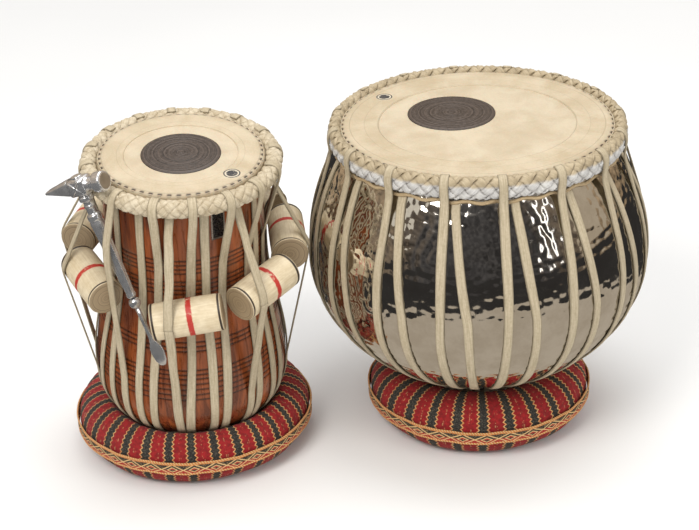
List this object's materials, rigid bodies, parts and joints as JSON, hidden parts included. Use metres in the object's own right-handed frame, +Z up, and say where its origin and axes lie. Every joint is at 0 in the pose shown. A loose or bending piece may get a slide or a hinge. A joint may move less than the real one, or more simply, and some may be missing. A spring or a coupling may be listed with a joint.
{
  "type": "tabla pair",
  "caption": "Tabla hand-drum pair: laced wooden treble drum with tuning blocks and hammer, hammered metal bass drum, each on a striped ring cushion.",
  "frame": {"origin": "middle of the pair's bounding box, on the floor", "axes": "+X from the treble drum to the bass drum, +Z up, the treble drum leans towards -Y, where the player's side view faces"},
  "size_m": [0.5038, 0.2962, 0.2956],
  "materials": {
    "cushion_cloth": "red and black striped handloom cloth",
    "cotton": "tightly packed stuffing",
    "band_cloth": "woven braid with a chevron pattern",
    "bowl_metal": "hammered and polished",
    "wood": "turned, lacquered red brown",
    "plate": "plain dark plate with a bright edge",
    "skin_top": "goatskin, scraped thin",
    "skin_under": "goatskin",
    "paste": "dark paste in fine concentric rings",
    "rawhide": "buff rawhide strap",
    "rawhide_braid": "braided rawhide",
    "gudri": "wrapped dark rawhide",
    "block_wood": "pale turned wood with a painted red band",
    "steel": "plated"
  },
  "bodies": {
    "bayan_cushion": {"bayan_cushion_cover": "cushion_cloth", "bayan_cushion_stuffing": "cotton", "bayan_cushion_band": "band_cloth"},
    "bayan_drum": {"bayan_shell": "bowl_metal", "bayan_bharti": "skin_under", "bayan_maidan": "skin_top", "bayan_kinar": "skin_top", "bayan_syahi": "paste", "bayan_gajra": "rawhide_braid", "bayan_hoop": "skin_under", "bayan_straps_over": "rawhide", "bayan_straps_under": "rawhide", "bayan_gudri": "gudri"},
    "dayan_cushion": {"dayan_cushion_cover": "cushion_cloth", "dayan_cushion_stuffing": "cotton", "dayan_cushion_band": "band_cloth"},
    "dayan_drum": {"dayan_shell": "wood", "dayan_plate": "plate", "dayan_bharti": "skin_under", "dayan_maidan": "skin_top", "dayan_kinar": "skin_top", "dayan_syahi": "paste", "dayan_gajra": "rawhide_braid", "dayan_straps_over": "rawhide", "dayan_straps_under": "rawhide", "dayan_gudri": "gudri", "hammer_strap": "rawhide", "gatta_strap_1": "rawhide", "gatta_strap_2": "rawhide", "gatta_strap_3": "rawhide", "gatta_strap_4": "rawhide", "gatta_strap_5": "rawhide", "gatta_strap_6": "rawhide", "gatta_strap_7": "rawhide"},
    "hammer": {"hammer_head": "steel", "hammer_handle": "steel", "hammer_blade": "steel"},
    "gatta_1": {"gatta_1": "block_wood"},
    "gatta_2": {"gatta_2": "block_wood"},
    "gatta_3": {"gatta_3": "block_wood"},
    "gatta_4": {"gatta_4": "block_wood"},
    "gatta_5": {"gatta_5": "block_wood"},
    "gatta_6": {"gatta_6": "block_wood"},
    "gatta_7": {"gatta_7": "block_wood"}
  },
  "joints": [
    {"name": "drums_apart", "type": "slide", "parent": "bayan_cushion", "child": "dayan_cushion", "axis": [-1, 0, 0], "range_m": [0, 0.15]},
    {"name": "bayan_lift", "type": "slide", "parent": "bayan_cushion", "child": "bayan_drum", "axis": [0, 0, 1], "range_m": [0, 0.15]},
    {"name": "dayan_lift", "type": "slide", "parent": "dayan_cushion", "child": "dayan_drum", "axis": [0.026, -0.108, 0.9938], "range_m": [0, 0.15]},
    {"name": "gatta_1_slide", "type": "slide", "parent": "dayan_drum", "child": "gatta_1", "axis": [0.0216, -0.0209, 0.9995], "range_m": [0, 0.02], "deforming": ["gatta_strap_1"]},
    {"name": "gatta_2_slide", "type": "slide", "parent": "dayan_drum", "child": "gatta_2", "axis": [-0.0403, -0.0512, 0.9979], "range_m": [-0.016, 0.005], "deforming": ["gatta_strap_2"]},
    {"name": "gatta_3_slide", "type": "slide", "parent": "dayan_drum", "child": "gatta_3", "axis": [-0.0611, -0.1152, 0.9915], "range_m": [-0.022, 0.01], "deforming": ["gatta_strap_3"]},
    {"name": "gatta_4_slide", "type": "slide", "parent": "dayan_drum", "child": "gatta_4", "axis": [-0.028, -0.176, 0.984], "range_m": [-0.022, 0.01], "deforming": ["gatta_strap_4"]},
    {"name": "gatta_5_slide", "type": "slide", "parent": "dayan_drum", "child": "gatta_5", "axis": [0.0512, -0.1906, 0.9803], "range_m": [-0.024, 0.012], "deforming": ["gatta_strap_5"]},
    {"name": "gatta_6_slide", "type": "slide", "parent": "dayan_drum", "child": "gatta_6", "axis": [0.1091, -0.1337, 0.985], "range_m": [-0.026, 0.006], "deforming": ["gatta_strap_6"]},
    {"name": "gatta_7_slide", "type": "slide", "parent": "dayan_drum", "child": "gatta_7", "axis": [0.1028, -0.0662, 0.9925], "range_m": [-0.018, 0.008], "deforming": ["gatta_strap_7"]},
    {"name": "hammer_draw", "type": "slide", "parent": "dayan_drum", "child": "hammer", "axis": [-0.3335, 0.0971, 0.9377], "range_m": [0, 0.19]}
  ]
}
